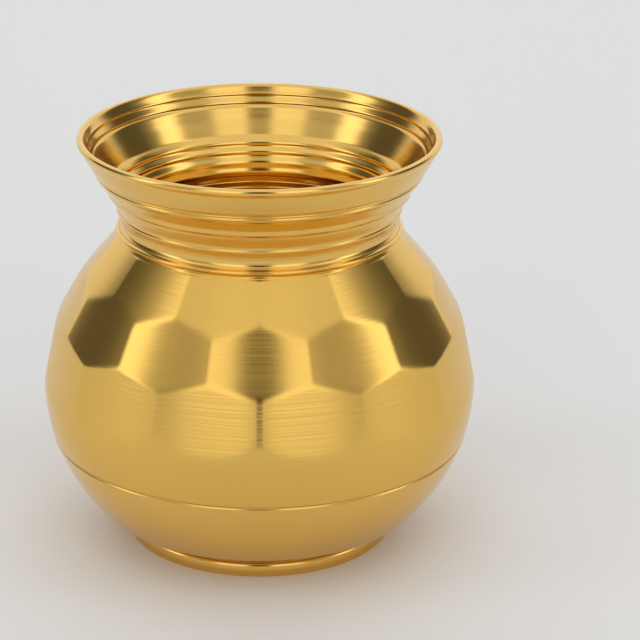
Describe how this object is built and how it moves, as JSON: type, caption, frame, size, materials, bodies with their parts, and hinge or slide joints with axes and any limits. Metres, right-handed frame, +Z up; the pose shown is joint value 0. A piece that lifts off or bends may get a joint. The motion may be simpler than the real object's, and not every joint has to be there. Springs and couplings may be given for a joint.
{
  "type": "lota",
  "caption": "Round-bellied brass water pot with a flared neck, faceted upper body, smooth lower bowl and a low foot ring.",
  "frame": {"origin": "middle of the underside of the foot ring", "axes": "+Z up along the pot's axis, towards the mouth; -Y towards a facet of the middle row"},
  "size_m": [0.1004, 0.1003, 0.0965],
  "materials": {
    "polished_brass": "polished",
    "brushed_brass": "finely brushed",
    "brazed_brass": "dull"
  },
  "bodies": {
    "root": {"flared_neck": "polished_brass", "neck_braze": "brazed_brass", "upper_body": "brushed_brass", "belly_braze": "brazed_brass", "lower_bowl": "polished_brass", "foot_braze": "brazed_brass", "foot_ring": "polished_brass"}
  },
  "joints": []
}
